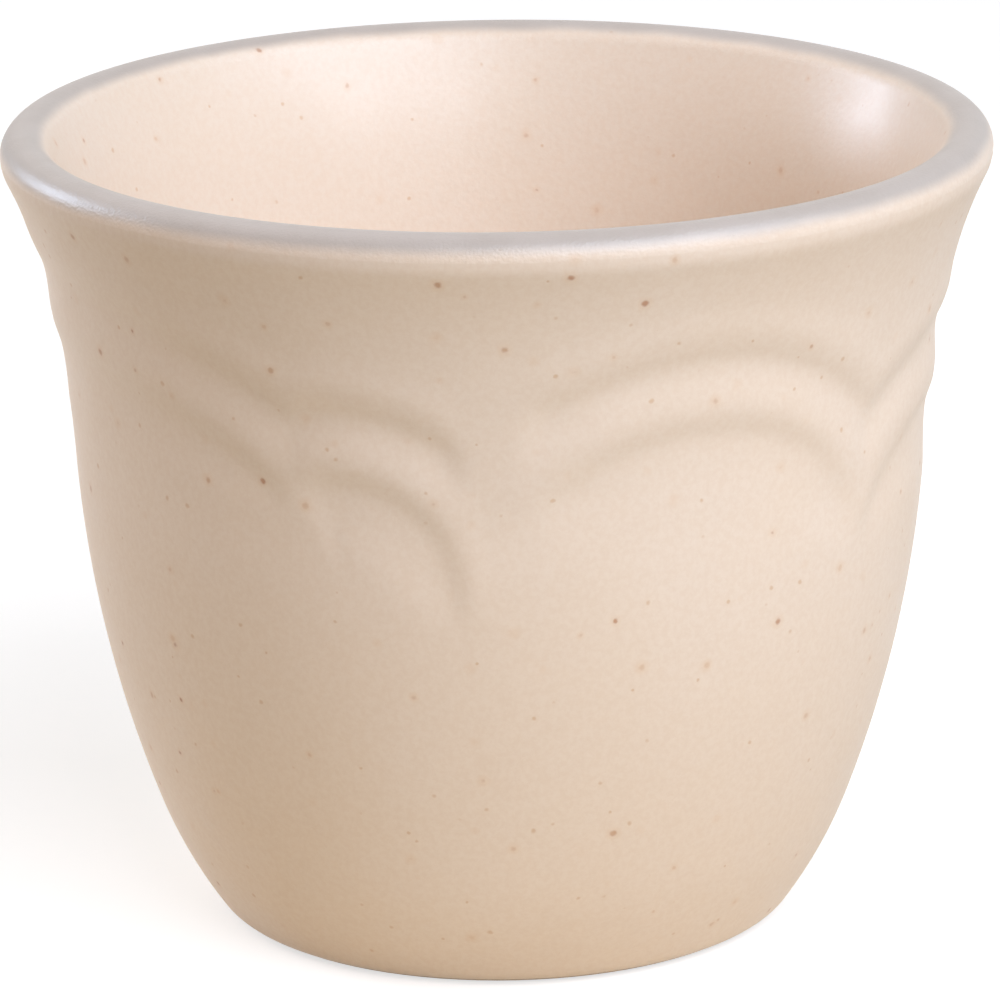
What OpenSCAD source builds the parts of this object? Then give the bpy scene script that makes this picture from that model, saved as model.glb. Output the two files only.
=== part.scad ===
// Custard cup: one piece of moulded stoneware with a flared, rounded lip,
// dipped in a speckled glaze and banded in grey round the lip.
// Millimetres, +Z up, origin in the middle of the foot at table height.
// The front of the arcade faces -Y, and angles round the wall grow from there towards +X.

/* [Cup] */
// Outside diameter at the lip
rim_d = 89; // [80:0.5:98]
// Height from the table to the top of the lip
cup_h = 73; // [68:0.5:80]
// Thickness of the wall, glaze included
wall_t = 4.6; // [4.2:0.1:5.4]
// Height of the inside floor above the table
floor_h = 6; // [5:0.5:8]
// Thickness of the glaze where the wall is plain
coat_t = 0.7; // [0.65:0.05:1]

/* [Lip] */
// Rounding of the lip's outer top edge
lip_outer_r = 2.1; // [1.8:0.1:2.6]
// Rounding where the lip turns under
lip_under_r = 3.3; // [2.5:0.1:4.5]

/* [Wall outline] */
// Lean of the wall right under the lip, degrees from upright
flare_lean = 26; // [22:1:30]
// Lean where the tight part of the flare ends
neck_lean = 13.5; // [11:0.5:16]
// Lean of the wall where the flare turns into the belly
waist_lean = 3.25; // [2:0.25:5]
// Lean where the belly starts to draw in
hip_lean = 20; // [18:0.5:22]
// Lean of the wall just above the foot
foot_lean = 35; // [32:1:38]
// Hollow radius of the tight part of the flare
neck_r = 41; // [34:1:48]
// Hollow radius of the long part of the flare
flare_r = 100; // [85:1:115]
// Radius of the wall where it draws in to the foot
hip_r = 43; // [36:1:50]
// Radius of the corner at the foot
foot_r = 3; // [2.5:0.1:3.5]

/* [Foot] */
// Lean of the foot corner where the glaze is wiped away
wipe_lean = 56; // [50:1:62]
// Width of the bare ring that the cup stands on
ring_w = 3.4; // [2.5:0.1:4.5]
// Depth of the glazed hollow under the cup
recess_h = 1.2; // [0.8:0.1:1.6]
// Slope of the ring's inner side, measured inwards over its full height
ring_slope = 1.6; // [1:0.1:2.5]

/* [Arcade] */
// Depth of the groove that runs over each arch
groove_d = 0.38; // [0.1:0.02:0.44]
// Height of the roll along the edge of each opening
roll_h = 0.18; // [0:0.02:0.3]
// Depth of the dip just inside each opening
dip_d = 0.26; // [0:0.02:0.4]
// Height of the soft brow above each groove
brow_h = 0.11; // [0:0.01:0.15]
// Half width of a broad pier, degrees round the wall
broad_pier = 4.4; // [3:0.1:6]
// Half width of a thin pier, degrees round the wall
thin_pier = 1; // [0.5:0.1:2]
// Height over which the legs of an arch fade away
leg_run = 6; // [4:0.5:10]

/* [Hidden] */
// Flattest that a round stretch may be drawn, as the sag of one step
sag = 0.02;
// Turns drawn round the relief, twice as many outside as on the clay side
relief_turns = 120;
// Steps drawn along each stretch of the outside, finest where the relief is, and on the clay side
face_steps = [0, 1, 5, 12, 10, 4, 1];
clay_steps = [0, 1, 2, 3, 5, 3, 1];
// Air left under the faceted glaze so that it never cuts into the clay
glaze_gap = 0.06;

// Piers of the arcade in order: angle round the wall, and whether the pier is a broad one
// that the grooves stop short of. At a thin pier the grooves meet in a cusp.
piers = [
    [-111, false],
    [-27.2, false],
    [-1, true],
    [55, false],
    [101, true],
    [159, false],
    [187, true],
    [249, false],
];
// Bays between the piers. The moulding is uneven, so each has its own measures: angle of
// the crown; drop of the groove below the lip at the crown, the left end and the right end;
// band between groove and opening; rise of the opening over its left and its right leg;
// drop at which the left and the right leg start to fade; how deep it is pressed, as a share.
bays = [
    [-66, 10.6, 18.1, 18.1, 6.6, 9.5, 10, 22, 22, 0.6],
    [-21, 17.3, 18.1, 23.2, 5.5, 3, 10, 20.5, 32, 0.95],
    [26, 13.2, 19.8, 21.9, 5.65, 10.5, 16, 22.5, 29, 0.7],
    [78, 17.4, 21.9, 21, 6.5, 9, 9, 28.5, 30, 1.05],
    [130, 12.4, 19.4, 19.2, 5.9, 11, 13, 22.5, 26, 0.8],
    [167, 17.1, 19.2, 22.5, 5.8, 4, 10, 21, 31, 0.95],
    [217, 12.1, 19, 18.1, 5.9, 11, 14, 22.5, 26, 0.75],
];
// Where each form of the relief has its middle, and how far it spreads to either side:
// groove and brow are measured upwards from the groove, roll and dip outwards from the opening
groove_up = 2.2;
groove_down = 4.2;
brow_at = 3.2;
brow_up = 2.5;
brow_down = 1.5;
roll_at = 1.4;
roll_out = 4.2;
roll_in = 2.8;
dip_at = -1.5;
dip_out = 2.9;
dip_in = 7;
// Degrees from a broad pier between which the groove comes up to its depth
groove_fade_from = 2.5;
groove_fade_to = 7;
// Difference in distance over which a pier passes from the one opening to the other
pier_blend = 4;

// Radius that one stretch of a run needs so that the whole run falls by a given height
function fall(radii, leans, i) = radii[i] * (sin(leans[i + 1]) - sin(leans[i]));
function total(list, i = 0) = i == len(list) ? 0 : list[i] + total(list, i + 1);
function fitted_radius(height, radii, leans, k) =
    (height - total([for (i = [0:len(radii) - 1]) i == k ? 0 : fall(radii, leans, i)]))
    / (sin(leans[k + 1]) - sin(leans[k]));

// A run is a chain of round stretches from the lip downwards, each starting in the
// direction in which the last one ended. Radii are negative where the wall is hollow.
function outward(lean) = [cos(lean), -sin(lean)];
function centres(radii, leans, at, i = 0) =
    i == len(radii) ? [] :
    let (next = i + 1 < len(radii) ? at + (radii[i] - radii[i + 1]) * outward(leans[i + 1]) : at)
    concat([at], centres(radii, leans, next, i + 1));
function chain(radii, leans, at) = [radii, leans, centres(radii, leans, at)];

// Stations are places on a run: centre, radius and lean. A skin through them at
// distance d lies d outside the finished surface of the outer wall.
function stations(run, first, last, steps) = [
    for (i = [first:last]) for (j = [(i == first ? 0 : 1):steps[i]])
        [run[2][i], run[0][i], run[1][i] + (run[1][i + 1] - run[1][i]) * j / steps[i]]
];
function on(station, d = 0) = station[0] + (station[1] + d) * outward(station[2]);
function skin(list, d = 0) = [for (s = list) on(s, d)];
function back(list) = [for (i = [len(list) - 1:-1:0]) list[i]];
function after_first(list) = [for (i = [1:len(list) - 1]) list[i]];
function fine_steps(run) = [
    for (i = [0:len(run[0]) - 1])
        ceil(abs(run[1][i + 1] - run[1][i]) / (2 * acos(1 - sag / abs(run[0][i]))))
];

// Rounding of the lip's inner edge that leaves the wall its thickness
lip_inner_r = wall_t - lip_under_r - (lip_outer_r - lip_under_r) / cos(flare_lean);

// Outside of the cup: lip top, under the lip, neck, flare, belly, hip, glazed and bare foot corner
outer_leans = [-90, 0, flare_lean, neck_lean, waist_lean, hip_lean, foot_lean, wipe_lean, 90];
outer_trial = [lip_outer_r, lip_under_r, -neck_r, -flare_r, 0, hip_r, foot_r, foot_r];
belly = 4;
belly_r = fitted_radius(cup_h, outer_trial, outer_leans, belly);
outer_radii = [for (i = [0:len(outer_trial) - 1]) i == belly ? belly_r : outer_trial[i]];
lip_top_r = rim_d / 2 - lip_outer_r;
outer_run = chain(outer_radii, outer_leans, [lip_top_r, cup_h - lip_outer_r]);
outer_steps = fine_steps(outer_run);
glazed_corner = 6;
bare_corner = 7;

// Inside of the cup: lip edge, neck, flare, belly and the corner at the floor
inner_leans = [90, flare_lean, neck_lean, waist_lean, hip_lean, 90];
inner_trial = [-lip_inner_r, -neck_r - wall_t, -flare_r - wall_t, belly_r - wall_t, 0];
floor_corner = 4;
floor_corner_r = fitted_radius(cup_h - floor_h, inner_trial, inner_leans, floor_corner);
inner_radii = [for (i = [0:floor_corner]) i == floor_corner ? floor_corner_r : inner_trial[i]];
inner_run = chain(inner_radii, inner_leans, [lip_top_r, cup_h - lip_inner_r]);
inner_steps = fine_steps(inner_run);

lip_out = stations(outer_run, 0, 0, outer_steps);
lip_in = stations(inner_run, 0, 0, inner_steps);
coated = stations(outer_run, 0, glazed_corner, outer_steps);
bare = stations(outer_run, bare_corner, bare_corner, outer_steps);
bowl = stations(inner_run, 1, floor_corner, inner_steps);
inside = stations(inner_run, 0, floor_corner, inner_steps);

foot_edge = on(bare[len(bare) - 1]);
ring_in_r = foot_edge[0] - ring_w;
recess_roof = recess_h + coat_t;
recess_r = ring_in_r - ring_slope;

// Relief of the arcade, in millimetres outwards, at an angle round the wall and a drop below the lip
waist_r = on([outer_run[2][belly], belly_r, waist_lean])[0];
mm_per_degree = waist_r * PI / 180;
function swell(x) = abs(x) >= 1 ? 0 : (1 + cos(180 * x)) / 2;
function hump(gap, middle, below, above) = swell((gap - middle) / (gap > middle ? above : below));
function bay_at(turn) = max([for (i = [0:len(bays) - 1]) if (turn >= piers[i][0]) i]);
// Distance above the groove of a bay
function groove_gap(bay, left, right, turn, drop) =
    let (on_left = turn < bay[0])
    let (end = on_left ? left[0] : right[0], sink = (on_left ? bay[2] : bay[3]) - bay[1])
    let (across = (turn - bay[0]) / (end - bay[0]))
    let (slope = 2 * sink * across / (abs(end - bay[0]) * mm_per_degree))
    (bay[1] + sink * across ^ 2 - drop) / sqrt(1 + slope ^ 2);
// Distance outside the opening of a bay, a half ellipse on upright legs, and how much is left of
// its relief as the legs fade downwards
function opening_gap(bay, left, right, turn, drop) =
    let (on_left = turn < bay[0])
    let (pier = on_left ? left : right, rise = on_left ? bay[5] : bay[6])
    let (reach = (abs(pier[0] - bay[0]) - (pier[1] ? broad_pier : thin_pier)) * mm_per_degree)
    let (x = (turn - bay[0]) * mm_per_degree, y = max(0, bay[1] + bay[4] + rise - drop))
    let (e = norm([x / reach, y / rise]), steep = norm([x / reach ^ 2, y / rise ^ 2]))
    let (rightness = min(1, max(0, (1 + x / reach) / 2)))
    let (past = drop - bay[7] - (bay[8] - bay[7]) * rightness)
    [steep < 0.000001 ? -reach : (e - 1) * e / steep, swell(max(0, past) / leg_run)];
// The same for a bay counted on past either end of the list, its crown and its press
function listed(i) = (i + len(bays)) % len(bays);
function rounds(i) = 360 * floor(i / len(bays));
function bay_opening(i, turn, drop) =
    let (k = listed(i))
    opening_gap(bays[k], piers[k], piers[k + 1], turn - rounds(i), drop);
function crown(i) = bays[listed(i)][0] + rounds(i);
function press(i) = bays[listed(i)][9];
// The press changes evenly from one crown to the next
function pressed(i, turn) =
    let (a = turn < crown(i) ? i - 1 : i, across = (turn - crown(a)) / (crown(a + 1) - crown(a)))
    press(a) + (press(a + 1) - press(a)) * across;
function nearer(a, b) = a[0] < b[0] ? a : b;
function kept_beside(pier, turn) =
    let (past = (abs(turn - pier[0]) - groove_fade_from) / (groove_fade_to - groove_fade_from))
    pier[1] ? 1 - swell(min(1, max(0, past))) : 1;
function relief(turn, drop) =
    let (i = bay_at(turn), over = groove_gap(bays[i], piers[i], piers[i + 1], turn, drop))
    let (kept = kept_beside(piers[i], turn) * kept_beside(piers[i + 1], turn))
    let (beside = nearer(bay_opening(i - 1, turn, drop), bay_opening(i + 1, turn, drop)))
    let (own = bay_opening(i, turn, drop), near = min(own[0], beside[0]))
    let (share = 0.5 + max(-1, min(1, (beside[0] - own[0]) / pier_blend)) / 2)
    let (brow = brow_h * hump(over, brow_at, brow_down, brow_up))
    let (groove = groove_d * hump(over, 0, groove_down, groove_up))
    let (roll = roll_h * hump(near, roll_at, roll_in, roll_out))
    let (dip = dip_d * hump(near, dip_at, dip_in, dip_out))
    let (legs = share * own[1] + (1 - share) * beside[1])
    pressed(i, turn) * (kept * (brow - groove) + legs * (roll - dip));

// Bare stoneware under everything: the wall, the floor and the ring it stands on
module clay_body() {
    color("#c9b199")
        rotate_extrude($fn = 180)
            polygon(concat(
                skin(coated, -coat_t),
                skin(bare),
                [[ring_in_r, 0], [recess_r, recess_roof], [0, recess_roof], [0, floor_h - coat_t]],
                back(skin(after_first(inside), coat_t))
            ));
}

// One corner of the relief grid
function relief_point(station, turn) =
    let (p = on(station, relief(turn, cup_h - on(station)[1])))
    [p[0] * sin(turn), -p[0] * cos(turn), p[1]];
// One corner of the clay side, pushed out so that its flats stay off the round clay
function clay_side_point(station, turn) =
    let (p = on(station, glaze_gap - coat_t), r = p[0] / cos(360 / relief_turns))
    [r * sin(turn), -r * cos(turn), p[1]];

// Glaze on the outside of the wall, with the arcade pressed into its surface
module outer_glaze() {
    n = relief_turns;
    m = n / 2;
    face_rows = stations(outer_run, 1, glazed_corner, face_steps);
    clay_rows = stations(outer_run, 1, glazed_corner, clay_steps);
    face = [for (s = face_rows) for (k = [0:n - 1]) relief_point(s, piers[0][0] + 360 * k / n)];
    clay = [for (s = clay_rows) for (k = [0:m - 1]) clay_side_point(s, piers[0][0] + 360 * k / m)];
    f = len(face_rows) - 1;
    c = len(clay_rows) - 1;
    function at_face(i, k) = i * n + k % n;
    function at_clay(i, k) = len(face) + i * m + k % m;
    color("#ead7c3")
        polyhedron(
            points = concat(face, clay),
            faces = concat(
                [for (i = [0:f - 1]) for (k = [0:n - 1])
                    each [
                        [at_face(i, k), at_face(i, k + 1), at_face(i + 1, k + 1)],
                        [at_face(i, k), at_face(i + 1, k + 1), at_face(i + 1, k)]
                    ]],
                [for (i = [0:c - 1]) for (k = [0:m - 1])
                    each [
                        [at_clay(i, k), at_clay(i + 1, k + 1), at_clay(i, k + 1)],
                        [at_clay(i, k), at_clay(i + 1, k), at_clay(i + 1, k + 1)]
                    ]],
                [for (k = [0:m - 1])
                    each [
                        [at_clay(0, k), at_face(0, 2 * k + 1), at_face(0, 2 * k)],
                        [at_clay(0, k), at_clay(0, k + 1), at_face(0, 2 * k + 1)],
                        [at_clay(0, k + 1), at_face(0, 2 * k + 2), at_face(0, 2 * k + 1)],
                        [at_clay(c, k), at_face(f, 2 * k), at_face(f, 2 * k + 1)],
                        [at_clay(c, k), at_face(f, 2 * k + 1), at_clay(c, k + 1)],
                        [at_clay(c, k + 1), at_face(f, 2 * k + 1), at_face(f, 2 * k + 2)]
                    ]]
            )
        );
}

// Glaze lining the bowl and its floor
module inner_glaze() {
    color("#efdccb")
        rotate_extrude($fn = 180)
            polygon(concat(
                skin(bowl),
                [[0, floor_h], [0, floor_h - coat_t]],
                back(skin(bowl, coat_t))
            ));
}

// Grey band of glaze over the lip, from its widest line to the inner edge
module rim_band() {
    color("#b9b2b0")
        rotate_extrude($fn = 180)
            polygon(concat(
                back(skin(lip_out)),
                skin(after_first(lip_in)),
                back(skin(lip_in, coat_t)),
                skin(after_first(lip_out), -coat_t)
            ));
}

// Glaze in the hollow under the cup
module base_glaze() {
    edge_r = ring_in_r - ring_slope * recess_h / recess_roof;
    color("#e6d2be")
        rotate_extrude($fn = 180)
            polygon([[0, recess_h], [edge_r, recess_h], [recess_r, recess_roof], [0, recess_roof]]);
}

clay_body();
outer_glaze();
inner_glaze();
rim_band();
base_glaze();
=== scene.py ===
# %% [markdown]
# A custard cup of glazed stoneware
#
# The cup is one moulding: a flared wall with a rounded lip, a shallow arcade of uneven arches
# pressed into the upper wall, a speckled cream glaze inside and out, and a soft grey band over
# the lip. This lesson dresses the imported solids: finely spun glaze coats stand in for the
# coarser CAD coats, and the bare clay keeps its own solid and gets a finish.

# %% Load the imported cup
import math
from collections import namedtuple

import bmesh
import bpy
from mathutils import Matrix, Vector


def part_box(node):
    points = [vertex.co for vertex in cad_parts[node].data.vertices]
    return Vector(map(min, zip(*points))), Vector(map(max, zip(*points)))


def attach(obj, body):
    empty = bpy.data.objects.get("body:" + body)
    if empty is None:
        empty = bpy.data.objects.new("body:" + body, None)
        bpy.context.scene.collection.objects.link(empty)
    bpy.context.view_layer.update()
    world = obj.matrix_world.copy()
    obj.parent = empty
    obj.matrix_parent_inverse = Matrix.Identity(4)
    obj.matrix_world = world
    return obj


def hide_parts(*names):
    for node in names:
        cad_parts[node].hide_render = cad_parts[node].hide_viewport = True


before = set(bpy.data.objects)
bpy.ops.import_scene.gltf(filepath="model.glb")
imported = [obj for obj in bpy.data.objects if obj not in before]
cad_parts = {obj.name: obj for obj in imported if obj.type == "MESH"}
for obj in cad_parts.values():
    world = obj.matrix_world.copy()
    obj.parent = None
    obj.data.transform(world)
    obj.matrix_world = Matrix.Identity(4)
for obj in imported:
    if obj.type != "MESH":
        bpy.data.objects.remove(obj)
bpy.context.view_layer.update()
print("solids:", sorted(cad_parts))

# %% [markdown]
# The camera
#
# The photograph looks slightly down on the cup through a long lens, so the far lip is only a
# little smaller than the near one. Fitting the outline gives the height of the view, the
# distance and the lens. The cup leans a touch in the picture, which is a roll of the camera.

# %% Camera at the photograph's viewing angle
MM = 0.001
view_elevation = math.radians(16.42)
view_distance = 570.4 * MM
view_roll = math.radians(-0.70)
aim_point = Vector((-0.08 * MM, 0.0, 37.36 * MM))

camera_data = bpy.data.cameras.new("photo_camera")
camera_data.sensor_width = 36.0
camera_data.lens = 224.85
camera_data.clip_start = 0.01
camera = bpy.data.objects.new("photo_camera", camera_data)
bpy.context.collection.objects.link(camera)
stand_off = Vector((0.0, -math.cos(view_elevation), math.sin(view_elevation))) * view_distance
camera.matrix_world = (
    Matrix.Translation(aim_point + stand_off)
    @ Matrix.Rotation(math.pi / 2 - view_elevation, 4, "X")
    @ Matrix.Rotation(view_roll, 4, "Z")
)
bpy.context.scene.camera = camera
print("camera stands at", [round(v, 4) for v in camera.matrix_world.translation])

# %% [markdown]
# The outline of the cup
#
# A potter's template for this cup is a chain of round stretches that run into each other
# without a kink: over the lip, under it, in at the neck, out along the belly and in again to
# the foot. Each stretch needs only a radius and the lean of the wall at its two ends, so the
# outline can be walked from the lip downwards. A hollow stretch has a negative radius.

# %% Walk a chain of round stretches
lip_low, lip_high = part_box("rim_band")
rim_radius = lip_high[0]
cup_height = lip_high[2]


def outward(lean):
    """Direction out of the wall, in the radius and height plane, at a lean in degrees."""
    return Vector((math.cos(math.radians(lean)), -math.sin(math.radians(lean))))


def walk(start, radii, leans):
    """Stretches of a chain as (centre, radius, leans), each running on from the last."""
    centres = [start]
    for i in range(len(radii) - 1):
        centres.append(centres[-1] + (radii[i] - radii[i + 1]) * outward(leans[i + 1]))
    return [(c, r, leans[i], leans[i + 1]) for i, (c, r) in enumerate(zip(centres, radii))]


def sine_fall(radius, lean_from, lean_to):
    """How far a stretch falls between two leans."""
    return radius * (math.sin(math.radians(lean_to)) - math.sin(math.radians(lean_from)))


def radius_for_fall(height, radii, leans, free):
    """Radius of the one free stretch that makes the whole chain fall by the given height."""
    others = sum(sine_fall(r, leans[i], leans[i + 1]) for i, r in enumerate(radii) if i != free)
    return (height - others) / sine_fall(1.0, leans[free], leans[free + 1])


print("rim radius", round(rim_radius / MM, 2), "mm, height", round(cup_height / MM, 2), "mm")

# %% Outside and inside chains
flare_lean, neck_lean, waist_lean, hip_lean = 26.0, 13.5, 3.25, 20.0
foot_lean, wipe_lean, level_lean = 35.0, 56.0, 90.0
lip_outer_r, lip_under_r = 2.1 * MM, 3.3 * MM
neck_r, flare_r, hip_r, foot_r = 41 * MM, 100 * MM, 43 * MM, 3 * MM
wall, floor_height = 4.6 * MM, 6.0 * MM
lip_top_radius = rim_radius - lip_outer_r
lip_step = (lip_outer_r - lip_under_r) / math.cos(math.radians(flare_lean))
lip_inner_r = wall - lip_under_r - lip_step
# Places of the free stretches, whose radii follow from the height
belly, bowl_corner = 4, 4

outer_leans = [-level_lean, 0, flare_lean, neck_lean, waist_lean, hip_lean, foot_lean, wipe_lean,
               level_lean]
outer_radii = [lip_outer_r, lip_under_r, -neck_r, -flare_r, 0.0, hip_r, foot_r, foot_r]
outer_radii[belly] = radius_for_fall(cup_height, outer_radii, outer_leans, belly)
outside = walk(Vector((lip_top_radius, cup_height - lip_outer_r)), outer_radii, outer_leans)

inner_leans = [level_lean, flare_lean, neck_lean, waist_lean, hip_lean, level_lean]
inner_radii = [-lip_inner_r, -neck_r - wall, -flare_r - wall, outer_radii[belly] - wall, 0.0]
bowl_depth = cup_height - floor_height
inner_radii[bowl_corner] = radius_for_fall(bowl_depth, inner_radii, inner_leans, bowl_corner)
inside = walk(Vector((lip_top_radius, cup_height - lip_inner_r)), inner_radii, inner_leans)
print("belly radius", round(outer_radii[belly] / MM, 1), "mm")

# %% [markdown]
# Spinning a coat
#
# A glaze coat is a thin shell of revolution, so a closed outline of its section, spun once
# round the axis, makes the whole coat with both its faces. Each corner of the section also
# remembers its lean and whether it lies on the open face, for the relief that comes later.
# All coats are spun in the same number of steps, so that neighbouring coats meet exactly.

# %% Sections of a coat
coat = 0.7 * MM


def places(stretches, pitch):
    """Points along some stretches as (centre, radius, lean), no further apart than the pitch."""
    found = []
    for centre, radius, lean_from, lean_to in stretches:
        length = abs(radius) * math.radians(abs(lean_to - lean_from))
        steps = max(3, math.ceil(length / pitch))
        for j in range(1 if found else 0, steps + 1):
            found.append((centre, radius, lean_from + (lean_to - lean_from) * j / steps))
    return found


def skin(found, depth):
    """Section points at a depth outwards of the finished face, with their leans."""
    return [(c + (r + depth) * outward(lean), lean) for c, r, lean in found]


def on_level(radius, height):
    """A section point on a level face, with its lean."""
    return Vector((radius, height)), level_lean


print("coats are", round(coat / MM, 2), "mm thick")

# %% Spin a section and make it a piece
spin_steps = 360
merge_gap = 0.002 * MM
sharp_angle = math.radians(40)


def spin_coat(name, face, back):
    """Spin a closed section: the points of the open face, then those of the clay side."""
    bm = bmesh.new()
    on_face = bm.verts.layers.float.new("on_face")
    lean_of = bm.verts.layers.float.new("lean")
    corners = []
    for points, mark in ((face, 1.0), (back, 0.0)):
        for point, lean in points:
            corner = bm.verts.new((point.x, 0.0, point.y))
            corner[on_face] = mark
            corner[lean_of] = lean
            corners.append(corner)
    for a, b in zip(corners, corners[1:] + corners[:1]):
        bm.edges.new((a, b))
    bmesh.ops.spin(
        bm, geom=bm.verts[:] + bm.edges[:], cent=(0, 0, 0), axis=(0, 0, 1),
        angle=math.tau, steps=spin_steps, use_merge=True,
    )
    bmesh.ops.remove_doubles(bm, verts=bm.verts, dist=merge_gap)
    bmesh.ops.recalc_face_normals(bm, faces=bm.faces)
    print(name, "spun with", len(bm.faces), "faces")
    return bm


def finish_coat(bm, name, node):
    """Turn a spun coat into a piece that replaces its CAD node."""
    mesh = bpy.data.meshes.new(name)
    bm.to_mesh(mesh)
    bm.free()
    mesh.shade_smooth()
    mesh.set_sharp_from_angle(angle=sharp_angle)
    piece = bpy.data.objects.new(name, mesh)
    bpy.context.collection.objects.link(piece)
    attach(piece, "root")
    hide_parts(node)
    return piece


print("coats are spun in", spin_steps, "steps")

# %% [markdown]
# The arcade
#
# The plaster mould gives the upper wall a row of arches, wide and narrow in turn and none quite
# like the next. Each has an opening, a rounded roll along the edge of the opening, and a groove
# that follows the roll higher up. Some neighbouring grooves meet in a cusp over a thin pier;
# others fade out on either side of a broad one. Nothing is deeper than about four tenths of a
# millimetre, so the relief shows only by the way light rolls over it. It could be a bump
# texture, but real vertex moves also show at the edge of the wall and stay in the mesh.

# %% Measures of the arcade
# Angles are in degrees round the wall from the front, and lengths here are in millimetres
Pier = namedtuple("Pier", "turn broad")
Bay = namedtuple(
    "Bay", "crown top left_drop right_drop band left_rise right_rise left_fade right_fade share"
)
# Angle of each pier, and whether it is broad, so that the grooves fade out beside it
piers = [
    Pier(-111.0, False), Pier(-27.2, False), Pier(-1.0, True), Pier(55.0, False),
    Pier(101.0, True), Pier(159.0, False), Pier(187.0, True), Pier(249.0, False),
]
# Angle of the crown; drop of the groove below the lip at the crown, the left end and the right
# end; band between groove and opening; rise of the opening at the left and the right; drop at
# which its left and its right leg start to fade; how deep the bay is pressed, as a share
bays = [
    Bay(-66.0, 10.6, 18.1, 18.1, 6.6, 9.5, 10.0, 22.0, 22.0, 0.6),
    Bay(-21.0, 17.3, 18.1, 23.2, 5.5, 3.0, 10.0, 20.5, 32.0, 0.95),
    Bay(26.0, 13.2, 19.8, 21.9, 5.65, 10.5, 16.0, 22.5, 29.0, 0.7),
    Bay(78.0, 17.4, 21.9, 21.0, 6.5, 9.0, 9.0, 28.5, 30.0, 1.05),
    Bay(130.0, 12.4, 19.4, 19.2, 5.9, 11.0, 13.0, 22.5, 26.0, 0.8),
    Bay(167.0, 17.1, 19.2, 22.5, 5.8, 4.0, 10.0, 21.0, 31.0, 0.95),
    Bay(217.0, 12.1, 19.0, 18.1, 5.9, 11.0, 14.0, 22.5, 26.0, 0.75),
]
waist = outside[belly][0] + outside[belly][1] * outward(waist_lean)
mm_per_degree = waist.x / MM * math.pi / 180
print(len(bays), "bays, one degree of wall is", round(mm_per_degree, 3), "mm")

# %% Distances from the groove and from the openings
# Half width of a pier in degrees, and the run over which a leg fades out
broad_pier, thin_pier = 4.4, 1.0
leg_run = 6.0
hardly_any = 1e-6


def swell(x):
    """A smooth hump, one at nought and nought beyond one."""
    return 0.0 if abs(x) >= 1 else (1 + math.cos(math.pi * x)) / 2


def groove_gap(bay, left, right, turn, drop):
    """Distance above the groove of a bay, which hangs from its crown as a parabola."""
    pier, end_drop = (left, bay.left_drop) if turn < bay.crown else (right, bay.right_drop)
    reach = pier.turn - bay.crown
    across = (turn - bay.crown) / reach
    slope = 2 * (end_drop - bay.top) * across / (abs(reach) * mm_per_degree)
    return (bay.top + (end_drop - bay.top) * across**2 - drop) / math.hypot(1, slope)


def opening_gap(bay, left, right, turn, drop):
    """Distance outside the opening of a bay, and what is left of its relief down the legs."""
    pier, rise = (left, bay.left_rise) if turn < bay.crown else (right, bay.right_rise)
    half_pier = broad_pier if pier.broad else thin_pier
    reach = (abs(pier.turn - bay.crown) - half_pier) * mm_per_degree
    x, y = (turn - bay.crown) * mm_per_degree, max(0.0, bay.top + bay.band + rise - drop)
    share = math.hypot(x / reach, y / rise)
    steep = math.hypot(x / reach**2, y / rise**2)
    gap = -reach if steep < hardly_any else (share - 1) * share / steep
    rightness = min(1.0, max(0.0, (1 + x / reach) / 2))
    fade_from = bay.left_fade + (bay.right_fade - bay.left_fade) * rightness
    return gap, swell(max(0.0, drop - fade_from) / leg_run)


front = 2
front_bay = bays[front]
print("the front opening starts", round(front_bay.top + front_bay.band, 2), "mm below the lip")

# %% What the mould presses where
groove_fade_from, groove_fade_to = 2.5, 7.0


def pressed(here, turn):
    """How deep the mould is pressed, changing evenly from one crown to the next."""
    def crown(i):
        return bays[i % len(bays)].crown + 360 * (i // len(bays))
    first = here - 1 if turn < crown(here) else here
    across = (turn - crown(first)) / (crown(first + 1) - crown(first))
    low, high = (bays[i % len(bays)].share for i in (first, first + 1))
    return low + (high - low) * across


def groove_kept(here, turn):
    """What is left of the groove beside the broad piers."""
    kept = 1.0
    for pier in piers[here:here + 2]:
        if pier.broad:
            span = groove_fade_to - groove_fade_from
            past = (abs(turn - pier.turn) - groove_fade_from) / span
            kept *= 1 - swell(min(1, max(0, past)))
    return kept


print("pressed at the front crown:", round(pressed(front, front_bay.crown), 2))

# %% Height of the relief at a place on the wall
# Height or depth of each wave, where its middle lies, and how far it runs to either side
groove_depth, groove_up, groove_down = 0.38, 2.2, 4.2
brow_height, brow_at, brow_up, brow_down = 0.11, 3.2, 2.5, 1.5
roll_height, roll_at, roll_out, roll_in = 0.18, 1.4, 4.2, 2.8
dip_depth, dip_at, dip_out, dip_in = 0.26, -1.5, 2.9, 7.0
pier_blend = 4.0
highest_drop, lowest_drop = 4.0, 46.0


def hump(gap, middle, below, above):
    """A hump with a slope of its own on either side of its middle."""
    return swell((gap - middle) / (above if gap > middle else below))


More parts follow.
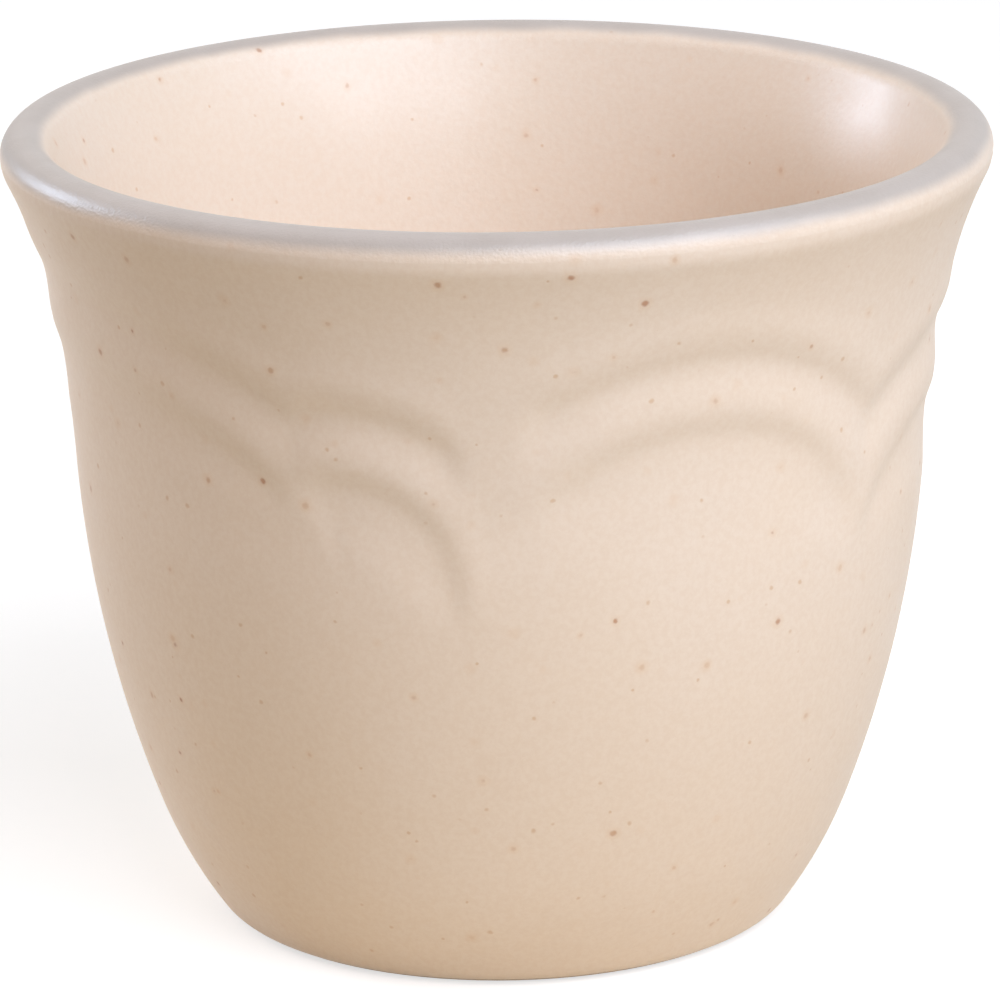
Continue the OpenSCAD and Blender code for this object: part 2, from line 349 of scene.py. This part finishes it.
def relief(turn, drop):
    """Height of the relief in millimetres at an angle round the wall and a drop below the lip."""
    if not highest_drop < drop < lowest_drop:
        return 0.0
    here = max(i for i in range(len(bays)) if turn >= piers[i].turn)
    over = groove_gap(bays[here], piers[here], piers[here + 1], turn, drop)
    brow = brow_height * hump(over, brow_at, brow_down, brow_up)
    groove = groove_depth * hump(over, 0.0, groove_down, groove_up)
    openings = []
    for i in (here, here - 1, here + 1):
        k, rounds = i % len(bays), i // len(bays)
        openings.append(opening_gap(bays[k], piers[k], piers[k + 1], turn - 360 * rounds, drop))
    own, beside = openings[0], min(openings[1:])
    near = min(own[0], beside[0])
    share = 0.5 + max(-1.0, min(1.0, (beside[0] - own[0]) / pier_blend)) / 2
    strength = share * own[1] + (1 - share) * beside[1]
    roll = roll_height * hump(near, roll_at, roll_in, roll_out)
    dip = dip_depth * hump(near, dip_at, dip_in, dip_out)
    return pressed(here, turn) * (groove_kept(here, turn) * (brow - groove) + strength * (roll - dip))


print("groove at the front crown", round(relief(front_bay.crown, front_bay.top), 3), "mm")

# %% Outer glaze with the arcade pressed in
face_pitch, back_pitch = 0.55 * MM, 2.5 * MM
glazed_wall = outside[1:7]
outer_bm = spin_coat(
    "outer glaze",
    skin(places(glazed_wall, face_pitch), 0.0),
    skin(places(glazed_wall, back_pitch), -coat)[::-1],
)
on_face = outer_bm.verts.layers.float["on_face"]
lean_of = outer_bm.verts.layers.float["lean"]
first_turn = piers[0].turn
deepest = 0.0
for corner in outer_bm.verts:
    if corner[on_face] < 0.5:
        continue
    turn = math.degrees(math.atan2(corner.co.x, -corner.co.y))
    turn = (turn - first_turn) % 360 + first_turn
    depth = relief(turn, (cup_height - corner.co.z) / MM) * MM
    step = outward(corner[lean_of]) * depth
    radius = math.hypot(corner.co.x, corner.co.y)
    corner.co.x *= 1 + step.x / radius
    corner.co.y *= 1 + step.x / radius
    corner.co.z += step.y
    deepest = min(deepest, depth)
outer_glaze = finish_coat(outer_bm, "outer_glaze_coat", "outer_glaze")
print("deepest groove", round(deepest / MM, 3), "mm")

# %% [markdown]
# The lip band, the liner and the base
#
# These coats have no relief. The band runs over the lip from its widest line to the start of
# the bowl. The liner follows the wall down to a rounded corner and closes over the floor on
# the axis, where the spun points fall together and are merged into one. The base coat is a
# disc in the hollow inside the foot ring.

# %% Lip band
lip_pitch = 0.15 * MM
lip_out = places(outside[:1], lip_pitch)
lip_in = places(inside[:1], lip_pitch)
band_face = skin(lip_out, 0.0)[::-1] + skin(lip_in, 0.0)[1:]
band_back = skin(lip_in, coat)[::-1] + skin(lip_out, -coat)[1:]
lip_band = finish_coat(
    spin_coat("lip band", band_face, band_back), "lip_band_coat", "rim_band"
)

# %% Liner of the bowl
bowl = inside[1:]
liner_pitch = 1.0 * MM
liner_face = skin(places(bowl, liner_pitch), 0.0) + [on_level(0.0, floor_height)]
liner_back = [on_level(0.0, floor_height - coat)] + skin(places(bowl, back_pitch), coat)[::-1]
liner = finish_coat(
    spin_coat("liner", liner_face, liner_back), "liner_coat", "inner_glaze"
)

# %% Base coat inside the foot ring
base_low, base_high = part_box("base_glaze")
base_edge, ring_slope = base_high[0], 1.6 * MM
base_top_edge = base_edge - ring_slope * coat / base_high[2]
base_face = [on_level(radius, base_low[2]) for radius in (0.0, base_edge / 2, base_edge)]
base_back = [on_level(radius, base_high[2]) for radius in (base_top_edge, 0.0)]
base_coat = finish_coat(
    spin_coat("base coat", base_face, base_back), "base_coat", "base_glaze"
)

# %% [markdown]
# Helpers for finishes
#
# Every finish here is a tree of nodes on a Principled shader. A few helpers keep the trees
# short to read: one adds a node with its values and links, others add a sum, a smooth step, a
# mix of two colours or a noise of a given size. All of them work on Object coordinates, so a
# pattern keeps its size in millimetres and runs on from one coat to the next.


# %% Add nodes to a finish
def new_finish(name):
    """A new material, its node tree and its shader."""
    finish = bpy.data.materials.new(name)
    finish.use_nodes = True
    tree = finish.node_tree
    return finish, tree, tree.nodes["Principled BSDF"]


def node(tree, kind, settings=None, values=None, links=None):
    """Add a node with its settings, its fixed input values and its incoming links."""
    made = tree.nodes.new(kind)
    for key, value in (settings or {}).items():
        setattr(made, key, value)
    for key, value in (values or {}).items():
        made.inputs[key].default_value = value
    for key, source in (links or {}).items():
        tree.links.new(source, made.inputs[key])
    return made


def object_place(tree):
    """Object coordinates, in metres."""
    return node(tree, "ShaderNodeTexCoord").outputs["Object"]


# %% Sums, fades and noise
# Noise seldom leaves this range, so most fades of it run from end to end of it
noise_range = (0.3, 0.7)


def math_node(tree, operation, a, b):
    """A Math node whose inputs are sockets or plain numbers."""
    made = node(tree, "ShaderNodeMath", {"operation": operation})
    for slot, value in ((0, a), (1, b)):
        if isinstance(value, (int, float)):
            made.inputs[slot].default_value = value
        else:
            tree.links.new(value, made.inputs[slot])
    return made.outputs[0]


def fade(tree, value, start, end, low=0.0, high=1.0):
    """Smooth step of a value between start and end."""
    made = node(tree, "ShaderNodeMapRange", {"interpolation_type": "SMOOTHSTEP"})
    for key, number in (("From Min", start), ("From Max", end), ("To Min", low), ("To Max", high)):
        made.inputs[key].default_value = number
    tree.links.new(value, made.inputs["Value"])
    return made.outputs["Result"]


def noise(tree, place, size, detail=2.0, rough=0.5, output="Fac"):
    """Noise with features of about the given size."""
    values = {"Scale": 1 / size, "Detail": detail, "Roughness": rough}
    return node(tree, "ShaderNodeTexNoise", None, values, {"Vector": place}).outputs[output]


# %% Mix colours
def typed(sockets, name, kind):
    """The socket of a name and a kind; a Mix node has one of each name for each kind."""
    return next(s for s in sockets if s.name == name and s.type == kind)


def mix(tree, data_type, kind, amount, first, second):
    """Mix two values of a kind, each a socket or a plain colour, by an amount."""
    made = node(tree, "ShaderNodeMix", {"data_type": data_type}, None, {"Factor": amount})
    for key, value in (("A", first), ("B", second)):
        socket = typed(made.inputs, key, kind)
        if isinstance(value, tuple):
            socket.default_value = (*value, 1.0)
        else:
            tree.links.new(value, socket)
    return typed(made.outputs, "Result", kind)


def mix_colour(tree, amount, first, second):
    """Mix two colours by an amount."""
    return mix(tree, "RGBA", "RGBA", amount, first, second)


def srgb(red, green, blue):
    """Scene colour of a screen colour given from 0 to 255."""
    def one(value):
        value /= 255
        return value / 12.92 if value <= 0.04045 else ((value + 0.055) / 1.055) ** 2.4
    return one(red), one(green), one(blue)


print("mid grey of the screen is", round(srgb(128, 128, 128)[0], 3), "in the scene")

# %% [markdown]
# The speckled glaze
#
# The glaze is a satin cream over an iron-bearing clay: the iron bleeds through as brown specks
# a few tenths of a millimetre across, each with a faint warm halo, and as a finer tan dusting.
# The cream itself wanders between pinkish and pale. Specks come from Voronoi cells in space:
# only some cells carry one, and the wall cuts each at a different height, so sizes vary by
# themselves. A little noise in the coordinates makes their outlines ragged.

# %% Specks from cells in space
# Where a speck and its halo fade out, in radii of the speck
core_fade, halo_fade = (0.35, 1.0), (0.6, 2.2)


def specks(tree, place, cell, share, small, large):
    """Amount of speck, its halo and a random tone, from cells of the given size."""
    cells = node(
        tree, "ShaderNodeTexVoronoi", {"feature": "F1"}, {"Scale": 1 / cell}, {"Vector": place}
    )
    random = node(tree, "ShaderNodeSeparateColor", links={"Color": cells.outputs["Color"]})
    present = math_node(tree, "LESS_THAN", random.outputs["Red"], share)
    size = fade(tree, random.outputs["Green"], 0.0, 1.0, small / cell, large / cell)
    nearness = math_node(tree, "DIVIDE", cells.outputs["Distance"], size)
    core = math_node(tree, "MULTIPLY", fade(tree, nearness, *core_fade, 1.0, 0.0), present)
    halo = math_node(tree, "MULTIPLY", fade(tree, nearness, *halo_fade, 1.0, 0.0), present)
    return core, halo, random.outputs["Blue"]


# Size of a cell, share of the cells with a speck, smallest and largest radius of a speck
faint_specks = (2.1 * MM, 0.42, 0.19 * MM, 0.34 * MM)
iron_specks = (2.9 * MM, 0.42, 0.24 * MM, 0.44 * MM)
clay_grains = (0.9 * MM, 0.35, 0.08 * MM, 0.2 * MM)
print("iron specks up to", round(2 * iron_specks[3] / MM, 2), "mm across")

# %% Colour of the speckled glaze
dust_tan, faint_tan, halo_tan = srgb(222, 186, 152), srgb(204, 148, 80), srgb(220, 164, 104)
pale_iron, dark_iron = srgb(206, 146, 74), srgb(168, 92, 38)
patch_size, dust_size, ragged_size, ragged_push = 22 * MM, 0.6 * MM, 0.5 * MM, 0.25 * MM
most_dust, faint_strength, halo_strength = 0.22, 0.42, 0.15
iron_weakest, iron_strongest = 0.26, 0.64
patch_range, tone_range = (0.35, 0.65), (0.3, 1.0)


def speckled(tree, place, pale, warm):
    """Colour of the speckled glaze, and the amount of dark speck for the bump."""
    wander = noise(tree, place, patch_size)
    colour = mix_colour(tree, fade(tree, wander, *patch_range), pale, warm)
    dust = noise(tree, place, dust_size, detail=3.0, rough=0.7)
    dust = fade(tree, dust, *noise_range, 0.0, most_dust)
    colour = mix_colour(tree, dust, colour, dust_tan)
    ragged = noise(tree, place, ragged_size, output="Color")
    pushed = node(
        tree, "ShaderNodeVectorMath", {"operation": "MULTIPLY_ADD"}, {1: (ragged_push,) * 3},
        {0: ragged, 2: place},
    ).outputs[0]
    faint, _, _ = specks(tree, pushed, *faint_specks)
    colour = mix_colour(tree, math_node(tree, "MULTIPLY", faint, faint_strength), colour, faint_tan)
    iron, halo, tone = specks(tree, pushed, *iron_specks)
    colour = mix_colour(tree, math_node(tree, "MULTIPLY", halo, halo_strength), colour, halo_tan)
    strength = fade(tree, tone, *tone_range, iron_weakest, iron_strongest)
    brown = mix_colour(tree, tone, pale_iron, dark_iron)
    colour = mix_colour(tree, math_node(tree, "MULTIPLY", iron, strength), colour, brown)
    return colour, iron


print("iron specks cover the cream by", iron_weakest, "to", iron_strongest)

# %% [markdown]
# The satin surface
#
# Fired satin glaze is never quite even: its gloss drifts from patch to patch, it has a faint
# orange peel from the spray, a fine grain, and the iron specks sink in a little. One bump node
# takes all of that as a height. The liner is glossier than the wall, and shows a soft shine.
# Its creams are the same glaze set darker than the wall's, as painted shade, so the bowl does not
# come out too bright.

# %% Satin surface and the two cream glazes
gloss_patch, peel_size, speck_sink = 6 * MM, 3.5 * MM, 0.25
bump_strength, bump_depth = 0.2, 0.08 * MM


def satin(tree, shader, place, iron, sheen, grain, grain_size=0.5 * MM):
    """Roughness between two values, a faint orange peel and a fine grain for a glaze."""
    gloss = fade(tree, noise(tree, place, gloss_patch, detail=3.0), *noise_range, *sheen)
    tree.links.new(gloss, shader.inputs["Roughness"])
    grit = math_node(tree, "MULTIPLY", noise(tree, place, grain_size), grain)
    peel = math_node(tree, "ADD", noise(tree, place, peel_size), grit)
    height = math_node(tree, "SUBTRACT", peel, math_node(tree, "MULTIPLY", iron, speck_sink))
    bump = node(tree, "ShaderNodeBump", None, {"Strength": bump_strength, "Distance": bump_depth},
                {"Height": height})
    tree.links.new(bump.outputs["Normal"], shader.inputs["Normal"])
    shader.inputs["Specular IOR Level"].default_value = 0.5


def glaze_finish(name, creams, sheen, grain):
    """A speckled satin glaze that wanders between two creams."""
    finish, tree, shader = new_finish(name)
    place = object_place(tree)
    colour, iron = speckled(tree, place, *creams)
    tree.links.new(colour, shader.inputs["Base Color"])
    satin(tree, shader, place, iron, sheen, grain)
    return finish


wall_creams = (0.872, 0.688, 0.532), (0.867, 0.678, 0.516)
# The liner's creams are painted shade: the wall's glaze set darker, so the bowl does not come out too
# bright
bowl_creams_painted_shade = (0.81, 0.654, 0.506), (0.805, 0.644, 0.491)
wall_glaze = glaze_finish("speckled_cream_glaze", wall_creams, (0.42, 0.48), 0.4)
bowl_glaze = glaze_finish("speckled_liner_painted_shade", bowl_creams_painted_shade, (0.34, 0.40), 1.0)
outer_glaze.data.materials.append(wall_glaze)
base_coat.data.materials.append(wall_glaze)
liner.data.materials.append(bowl_glaze)
print("glazes made:", wall_glaze.name, bowl_glaze.name)

# %% [markdown]
# The grey band
#
# The band was brushed or sprayed over the lip, so it has no hard edge: outside it melts into
# the cream just above the widest line of the lip, and inside it ends a little below the top.
# The finish therefore starts from the same speckled glazes and lays the grey over them by
# height, with a little wander in the edge. The outer edge also sinks slightly towards one side.
# Radius tells the outside of the lip from the inside. The grey is grainier than the creams, so
# that its shine breaks up into fine points.

# %% Grey band finish
greys = (0.462, 0.384, 0.32), (0.491, 0.409, 0.344)
grey_cover = 0.95
band_sheen, band_grain, band_grain_size = (0.32, 0.38), 3.0, 0.25 * MM
# Drops below the top of the lip at which the grey starts and is full
inner_edge, outer_edge = (0.95 * MM, 0.15 * MM), (1.85 * MM, 0.65 * MM)
edge_wander, edge_tilt, side_blend = 0.4 * MM, 0.25 * MM, 0.3 * MM
wander_size, cloud_size = 7 * MM, 5 * MM


def band_cover(tree, place, axes, outer_side):
    """How much grey lies at a place: a fade by height, one outside the lip and one inside."""
    wander = math_node(tree, "SUBTRACT", noise(tree, place, wander_size), 0.5)
    wander = math_node(tree, "MULTIPLY", wander, edge_wander)
    height = math_node(tree, "ADD", axes.outputs["Z"], wander)
    tilt = math_node(tree, "MULTIPLY", axes.outputs["X"], -edge_tilt / rim_radius)
    tilted = math_node(tree, "ADD", height, tilt)
    inside_fade = fade(tree, height, *(cup_height - drop for drop in inner_edge))
    outside_fade = fade(tree, tilted, *(cup_height - drop for drop in outer_edge))
    band = mix(tree, "FLOAT", "VALUE", outer_side, inside_fade, outside_fade)
    return math_node(tree, "MULTIPLY", band, grey_cover)


def band_finish(name):
    """The two creams of the lip with the grey laid over them."""
    finish, tree, shader = new_finish(name)
    place = object_place(tree)
    axes = node(tree, "ShaderNodeSeparateXYZ", links={"Vector": place})
    squares = [math_node(tree, "POWER", axes.outputs[k], 2.0) for k in ("X", "Y")]
    radius = math_node(tree, "SQRT", math_node(tree, "ADD", *squares), 0.0)
    outer_side = fade(tree, radius, lip_top_radius - side_blend, lip_top_radius + side_blend)
    outer_colour, iron = speckled(tree, place, *wall_creams)
    # The inside of the lip takes the liner's darker creams, which carry painted shade
    inner_colour, _ = speckled(tree, place, *bowl_creams_painted_shade)
    cream = mix_colour(tree, outer_side, inner_colour, outer_colour)
    cloud = fade(tree, noise(tree, place, cloud_size, detail=3.0, rough=0.6), *noise_range)
    grey = mix_colour(tree, cloud, *greys)
    cover = band_cover(tree, place, axes, outer_side)
    tree.links.new(mix_colour(tree, cover, cream, grey), shader.inputs["Base Color"])
    satin(tree, shader, place, iron, band_sheen, band_grain, band_grain_size)
    return finish


lip_band.data.materials.append(band_finish("grey_lip_band"))
print("grey reaches", round(outer_edge[0] / MM, 2), "mm down outside and",
      round(inner_edge[0] / MM, 2), "mm inside")

# %% [markdown]
# The bare clay
#
# Only the foot ring shows the fired body: a sandy, toasted stoneware, dry to the touch, with
# dark grains. The CAD solid already has the right shape, so it keeps its mesh and gets a
# rough finish with grain in its colour and its bump.

# %% Foot of bare stoneware
sandy, toasted, grain_brown = srgb(205, 180, 150), srgb(188, 156, 122), srgb(104, 74, 52)
toast_size, sand_size, sand_depth, sand_bump = 9 * MM, 0.35 * MM, 0.1 * MM, 0.5
sand_range, clay_roughness = (0.2, 0.8), (0.78, 0.95)

clay, clay_tree, clay_shader = new_finish("bare_stoneware")
clay_place = object_place(clay_tree)
toast = noise(clay_tree, clay_place, toast_size, detail=4.0, rough=0.6)
toast = fade(clay_tree, toast, *noise_range)
clay_colour = mix_colour(clay_tree, toast, sandy, toasted)
grit, _, _ = specks(clay_tree, clay_place, *clay_grains)
clay_colour = mix_colour(clay_tree, grit, clay_colour, grain_brown)
clay_tree.links.new(clay_colour, clay_shader.inputs["Base Color"])
sand = noise(clay_tree, clay_place, sand_size, detail=3.0, rough=0.7)
dryness = fade(clay_tree, sand, *sand_range, *clay_roughness)
clay_tree.links.new(dryness, clay_shader.inputs["Roughness"])
clay_bump = node(clay_tree, "ShaderNodeBump", None, {"Strength": sand_bump, "Distance": sand_depth},
                 {"Height": sand})
clay_tree.links.new(clay_bump.outputs["Normal"], clay_shader.inputs["Normal"])
clay_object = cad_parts["clay_body"]
clay_object.data.materials.clear()
clay_object.data.materials.append(clay)
print("bare clay on", clay_object.name)

# %% [markdown]
# The floor
#
# The cup stands on a sheet of paper. What the sheet throws back matters for the cup: close by
# it lifts the lower wall with warm light, and farther out it is dark, so that the hollow neck
# under the lip stays in shade. The eye should see plain white instead. A Light Path node
# tells the two apart: rays from the camera, a mirror or glass meet a neutral paper that is
# lifted to white, and still takes the cup's shadow, while all other rays meet the warm one.


# %% Paper floor
def white_to_the_eye(tree):
    """One for rays from the camera or from a mirror or glass, nought for the rest."""
    path = node(tree, "ShaderNodeLightPath")
    seen = math_node(tree, "MAXIMUM", path.outputs["Is Camera Ray"], path.outputs["Is Glossy Ray"])
    return math_node(tree, "MAXIMUM", seen, path.outputs["Is Transmission Ray"])


floor_reach = 3.0
near_edge, far_edge = 0.14, 0.36
near_bounce, far_bounce = (0.675, 0.583, 0.413), (0.16, 0.15, 0.14)
seen_paper, seen_lift = (0.47, 0.44, 0.40), (0.67, 0.67, 0.67, 1.0)

floor_bm = bmesh.new()
bmesh.ops.create_grid(floor_bm, x_segments=1, y_segments=1, size=floor_reach)
floor_mesh = bpy.data.meshes.new("studio_floor")
floor_bm.to_mesh(floor_mesh)
floor_bm.free()
floor = bpy.data.objects.new("studio_floor", floor_mesh)
bpy.context.collection.objects.link(floor)
paper, paper_tree, paper_shader = new_finish("white_paper")
away = node(
    paper_tree, "ShaderNodeVectorMath", {"operation": "LENGTH"}, None, {0: object_place(paper_tree)}
)
far = fade(paper_tree, away.outputs["Value"], near_edge, far_edge)
seen = white_to_the_eye(paper_tree)
bounce = mix_colour(paper_tree, far, near_bounce, far_bounce)
paper_colour = mix_colour(paper_tree, seen, bounce, seen_paper)
paper_tree.links.new(paper_colour, paper_shader.inputs["Base Color"])
paper_shader.inputs["Roughness"].default_value = 0.9
paper_shader.inputs["Specular IOR Level"].default_value = 0.1
paper_shader.inputs["Emission Color"].default_value = seen_lift
paper_tree.links.new(seen, paper_shader.inputs["Emission Strength"])
floor_mesh.materials.append(paper)
print("floor laid,", 2 * floor_reach, "m wide")

# %% [markdown]
# The lamps
#
# Five soft square lamps stand round the cup, all at one distance. The key lamp to the right of
# the camera and the side lamp beyond it have the cool tint of daylight and shape the wall. A
# small low lamp behind on the left, like a window, makes the soft shine inside the right wall
# and on the left of the lip. A broad warm fill from the left stands for light from a room
# wall, and a high lamp behind lights the top of the lip. The world is white to the eye alone.

# %% Lamps round the cup
lamp_aim, lamp_distance = Vector((0, 0, 45 * MM)), 0.9


def soft_lamp(name, azimuth, elevation, size, power, tint):
    """A square lamp aimed at the cup; azimuth 0 is the camera's side, growing to the right."""
    lamp = bpy.data.lights.new(name, "AREA")
    lamp.shape = "SQUARE"
    lamp.size = size
    lamp.energy = power
    lamp.color = tint
    holder = bpy.data.objects.new(name, lamp)
    az, el = math.radians(azimuth), math.radians(elevation)
    towards = Vector((math.sin(az) * math.cos(el), -math.cos(az) * math.cos(el), math.sin(el)))
    holder.location = lamp_aim + towards * lamp_distance
    holder.rotation_euler = towards.to_track_quat("Z", "Y").to_euler()
    bpy.context.collection.objects.link(holder)


daylight, window = (0.89, 1.0, 1.2), (0.87, 1.0, 1.22)
warm_wall, plain_white = (1.0, 0.63, 0.42), (1.0, 1.0, 1.0)
# Name, azimuth and elevation in degrees, side in metres, power in watts and tint
lamps = [
    ("key_lamp", 28, 39, 0.7, 7.55, daylight),
    ("side_lamp", 70, 47, 0.6, 3.4, daylight),
    ("low_back_lamp", -120, 18, 0.34, 3.3, window),
    ("left_fill_lamp", -72, 42, 0.9, 1.0, warm_wall),
    ("high_back_lamp", -130, 52, 0.9, 1.8, plain_white),
]
for lamp in lamps:
    soft_lamp(*lamp)
print(len(lamps), "lamps,", round(sum(lamp[4] for lamp in lamps), 2), "watts in all")

# %% White surroundings
world = bpy.data.worlds.new("white_room")
bpy.context.scene.world = world
world.use_nodes = True
room = world.node_tree
sky = room.nodes["Background"]
sky.inputs["Color"].default_value = (1.0, 1.0, 1.0, 1.0)
room.links.new(white_to_the_eye(room), sky.inputs["Strength"])
bpy.context.scene.view_settings.view_transform = "Standard"
print("the room is white to the camera and lights nothing")
